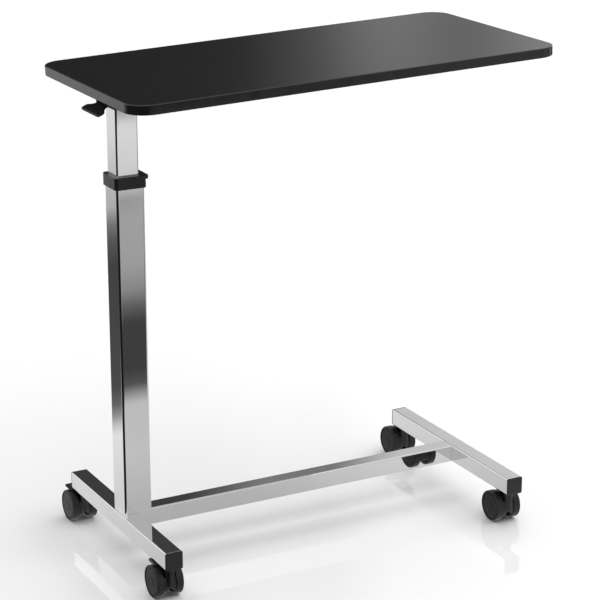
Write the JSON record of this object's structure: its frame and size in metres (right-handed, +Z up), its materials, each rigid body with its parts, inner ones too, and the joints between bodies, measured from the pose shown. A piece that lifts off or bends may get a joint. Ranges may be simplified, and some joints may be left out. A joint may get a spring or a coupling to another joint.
{
  "type": "overbed table",
  "caption": "Height-adjustable overbed table: cantilevered board on a telescopic square mast with a release lever, over an H-shaped base on twin-wheel casters.",
  "frame": {"origin": "on the floor, under the centre of the whole object's box", "axes": "+X along the board from the mast to its free end, +Y across it towards the side that the casters trail to, +Z up"},
  "size_m": [0.762, 0.4186, 0.8333],
  "materials": {
    "chrome": "polished chrome plate over square steel tube",
    "inner_chrome": "polished chrome plate on the telescoping tube",
    "black_laminate": "semi-gloss black laminate with a faint straight grain",
    "board_core": "particle board with a black backing sheet",
    "black_edge": "satin black plastic edge band",
    "black_plastic": "satin moulded black plastic",
    "wheel_plastic": "satin moulded black nylon",
    "lever_plastic": "moulded black plastic over a steel plate",
    "white_nylon": "natural nylon",
    "black_steel": "black powder coat",
    "zinc_steel": "bright zinc plate"
  },
  "bodies": {
    "base": {"left_crossbar": "chrome", "right_crossbar": "chrome", "long_bar": "chrome", "outer_mast_tube": "chrome", "mast_foot_plate": "zinc_steel", "mast_collar": "black_plastic", "guide_bushing": "white_nylon", "gas_spring_cylinder": "black_steel", "gas_spring_pin": "zinc_steel", "stem_nuts": "zinc_steel", "left_front_end_cap": "black_plastic", "left_rear_end_cap": "black_plastic", "right_front_end_cap": "black_plastic", "right_rear_end_cap": "black_plastic", "left_front_caster_stem": "zinc_steel", "left_rear_caster_stem": "zinc_steel", "right_front_caster_stem": "zinc_steel", "right_rear_caster_stem": "zinc_steel"},
    "lift": {"inner_mast_tube": "inner_chrome", "lower_guide": "white_nylon", "piston_rod": "zinc_steel", "rod_lock_nut": "zinc_steel", "head_bracket": "black_steel", "bracket_bolts": "zinc_steel", "lever_pin": "zinc_steel", "support_channel": "black_steel", "left_cross_arm": "black_steel", "right_cross_arm": "black_steel", "board_screws": "zinc_steel", "tabletop_board": "board_core", "top_laminate": "black_laminate", "edge_band": "black_edge"},
    "lever": {"release_lever": "lever_plastic"},
    "valve_pin": {"release_pin": "zinc_steel"},
    "left_front_caster": {"left_front_caster_hood": "black_plastic", "left_front_caster_axle": "zinc_steel"},
    "left_front_left_wheel": {"left_front_left_wheel": "wheel_plastic"},
    "left_front_right_wheel": {"left_front_right_wheel": "wheel_plastic"},
    "left_front_brake": {"left_front_brake_pedal": "black_plastic"},
    "left_rear_caster": {"left_rear_caster_hood": "black_plastic", "left_rear_caster_axle": "zinc_steel"},
    "left_rear_left_wheel": {"left_rear_left_wheel": "wheel_plastic"},
    "left_rear_right_wheel": {"left_rear_right_wheel": "wheel_plastic"},
    "left_rear_brake": {"left_rear_brake_pedal": "black_plastic"},
    "right_front_caster": {"right_front_caster_hood": "black_plastic", "right_front_caster_axle": "zinc_steel"},
    "right_front_left_wheel": {"right_front_left_wheel": "wheel_plastic"},
    "right_front_right_wheel": {"right_front_right_wheel": "wheel_plastic"},
    "right_rear_caster": {"right_rear_caster_hood": "black_plastic", "right_rear_caster_axle": "zinc_steel"},
    "right_rear_left_wheel": {"right_rear_left_wheel": "wheel_plastic"},
    "right_rear_right_wheel": {"right_rear_right_wheel": "wheel_plastic"}
  },
  "joints": [
    {"name": "height_slide", "type": "slide", "parent": "base", "child": "lift", "axis": [0, 0, 1], "range_m": [-0.105, 0.325]},
    {"name": "lever_pivot", "type": "hinge", "parent": "lift", "child": "lever", "pos_m": [-0.34, -0.01425, 0.782], "axis": [0, 1, 0], "range_deg": [0, 9], "stiffness_Nm_per_rad": 2, "springref_deg": -6.88},
    {"name": "valve_pin_slide", "type": "slide", "parent": "lift", "child": "valve_pin", "axis": [0, 0, -1], "range_m": [0, 0.0037]},
    {"name": "left_front_swivel", "type": "hinge", "parent": "base", "child": "left_front_caster", "pos_m": [-0.3314, -0.18925, 0.04], "axis": [0, 0, 1], "continuous": true},
    {"name": "left_front_left_roll", "type": "hinge", "parent": "left_front_caster", "child": "left_front_left_wheel", "pos_m": [-0.3314, -0.16775, 0.027], "axis": [1, 0, 0], "continuous": true},
    {"name": "left_front_right_roll", "type": "hinge", "parent": "left_front_caster", "child": "left_front_right_wheel", "pos_m": [-0.3314, -0.16775, 0.027], "axis": [1, 0, 0], "continuous": true},
    {"name": "left_front_brake_press", "type": "hinge", "parent": "left_front_caster", "child": "left_front_brake", "pos_m": [-0.3314, -0.17725, 0.0543], "axis": [1, 0, 0], "range_deg": [-5, 0]},
    {"name": "left_rear_swivel", "type": "hinge", "parent": "base", "child": "left_rear_caster", "pos_m": [-0.3314, 0.16075, 0.04], "axis": [0, 0, 1], "continuous": true},
    {"name": "left_rear_left_roll", "type": "hinge", "parent": "left_rear_caster", "child": "left_rear_left_wheel", "pos_m": [-0.3314, 0.18225, 0.027], "axis": [1, 0, 0], "continuous": true},
    {"name": "left_rear_right_roll", "type": "hinge", "parent": "left_rear_caster", "child": "left_rear_right_wheel", "pos_m": [-0.3314, 0.18225, 0.027], "axis": [1, 0, 0], "continuous": true},
    {"name": "left_rear_brake_press", "type": "hinge", "parent": "left_rear_caster", "child": "left_rear_brake", "pos_m": [-0.3314, 0.17275, 0.0543], "axis": [1, 0, 0], "range_deg": [-5, 0]},
    {"name": "right_front_swivel", "type": "hinge", "parent": "base", "child": "right_front_caster", "pos_m": [0.3142, -0.18925, 0.04], "axis": [0, 0, 1], "continuous": true},
    {"name": "right_front_left_roll", "type": "hinge", "parent": "right_front_caster", "child": "right_front_left_wheel", "pos_m": [0.3142, -0.16775, 0.027], "axis": [1, 0, 0], "continuous": true},
    {"name": "right_front_right_roll", "type": "hinge", "parent": "right_front_caster", "child": "right_front_right_wheel", "pos_m": [0.3142, -0.16775, 0.027], "axis": [1, 0, 0], "continuous": true},
    {"name": "right_rear_swivel", "type": "hinge", "parent": "base", "child": "right_rear_caster", "pos_m": [0.3142, 0.16075, 0.04], "axis": [0, 0, 1], "continuous": true},
    {"name": "right_rear_left_roll", "type": "hinge", "parent": "right_rear_caster", "child": "right_rear_left_wheel", "pos_m": [0.3142, 0.18225, 0.027], "axis": [1, 0, 0], "continuous": true},
    {"name": "right_rear_right_roll", "type": "hinge", "parent": "right_rear_caster", "child": "right_rear_right_wheel", "pos_m": [0.3142, 0.18225, 0.027], "axis": [1, 0, 0], "continuous": true}
  ],
  "couplings": [
    {"joint": "valve_pin_slide", "follows": "lever_pivot", "m_per_rad": 0.0232}
  ]
}
